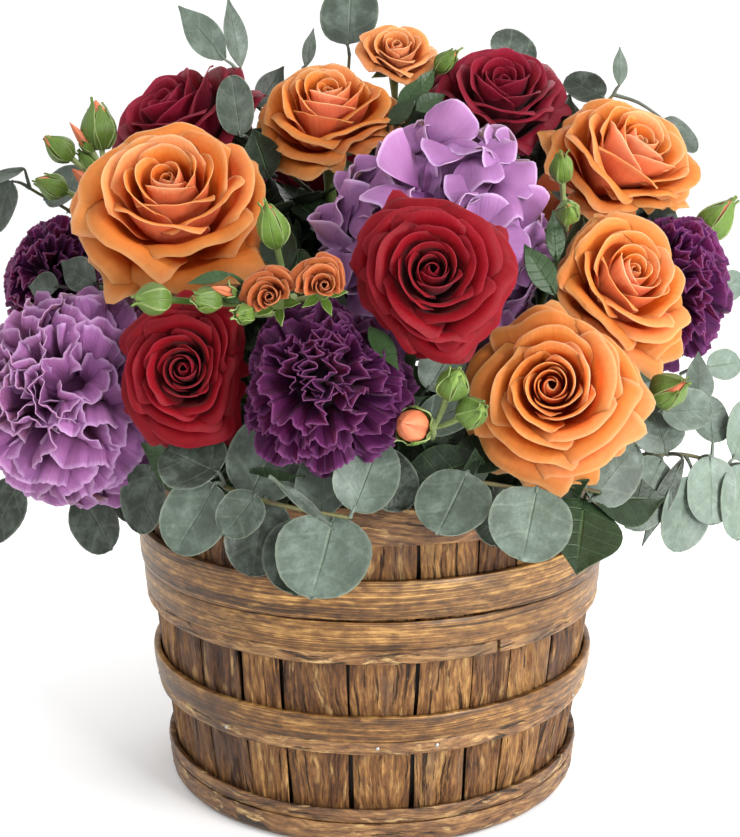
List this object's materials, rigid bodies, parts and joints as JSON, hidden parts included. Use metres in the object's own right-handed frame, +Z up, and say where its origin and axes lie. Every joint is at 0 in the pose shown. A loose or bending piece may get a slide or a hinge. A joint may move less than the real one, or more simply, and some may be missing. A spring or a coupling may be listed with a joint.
{
  "type": "flower basket arrangement",
  "caption": "Mixed flower arrangement of roses, carnations, a hydrangea, spray buds and eucalyptus in floral foam in a round wooden stave basket.",
  "frame": {"origin": "centre of the basket's foot, on the surface it stands on", "axes": "+Z up along the basket's axis; the front of the arrangement faces -Y, +X is to the right seen from the front"},
  "size_m": [0.3262, 0.275, 0.3434],
  "materials": {
    "boards": "rough sawn board, stained brown",
    "staves": "rough stained veneer staves with dark grain",
    "splint": "smooth stained splint with fine grain",
    "bark": "rough bark-edged strip",
    "liner": "thin dark green plastic",
    "foam": "wet floral foam",
    "orange": "soft petals, deep orange with peach backs",
    "red": "velvety crimson petals with paler rims",
    "lavender": "matt ruffled petals, mauve with pale edges",
    "purple": "matt ruffled petals, very dark violet",
    "lilac": "thin lilac florets",
    "coral": "soft petals, peach to coral",
    "stem": "fresh green stem and sepals",
    "bud": "lime-green buds and twigs",
    "eucalyptus": "grey-green leaf with a waxy bloom",
    "salal": "glossy dark green leaf"
  },
  "bodies": {
    "root": {"basket_base": "boards", "basket_staves": "staves", "rim_strip": "bark", "hoop_upper": "splint", "hoop_upper_bark": "bark", "hoop_middle": "splint", "hoop_middle_bark": "bark", "hoop_bottom": "bark", "liner": "liner", "orange_rose_1": "orange", "orange_rose_1_stem": "stem", "orange_rose_2": "orange", "orange_rose_2_stem": "stem", "orange_rose_3": "orange", "orange_rose_3_stem": "stem", "orange_rose_4": "orange", "orange_rose_4_stem": "stem", "orange_rose_5": "orange", "orange_rose_5_stem": "stem", "orange_rose_6": "orange", "orange_rose_6_stem": "stem", "red_rose_1": "red", "red_rose_1_stem": "stem", "red_rose_2": "red", "red_rose_2_stem": "stem", "red_rose_3": "red", "red_rose_3_stem": "stem", "red_rose_4": "red", "red_rose_4_stem": "stem", "red_rose_5": "red", "red_rose_5_stem": "stem", "carnation_lavender_1": "lavender", "carnation_lavender_2": "lavender", "carnation_purple_1": "purple", "carnation_purple_2": "purple", "carnation_purple_3": "purple", "carnation_purple_4": "purple", "carnation_stems": "stem", "hydrangea_head": "lilac", "hydrangea_stem": "stem", "spray_top_bloom": "coral", "spray_centre_blooms": "coral", "spray_left": "bud", "spray_top_stem": "bud", "spray_centre_stem": "bud", "spray_front": "bud", "spray_right_rear": "bud", "spray_right": "bud", "spray_right_edge": "bud", "eucalyptus_top": "eucalyptus", "eucalyptus_top_right": "eucalyptus", "eucalyptus_left_high": "eucalyptus", "eucalyptus_left_low": "eucalyptus", "eucalyptus_front_left": "eucalyptus", "eucalyptus_front_right": "eucalyptus", "eucalyptus_right": "eucalyptus", "eucalyptus_back_left": "eucalyptus", "eucalyptus_back_right": "eucalyptus", "salal_front": "salal", "floral_foam": "foam"}
  },
  "joints": []
}
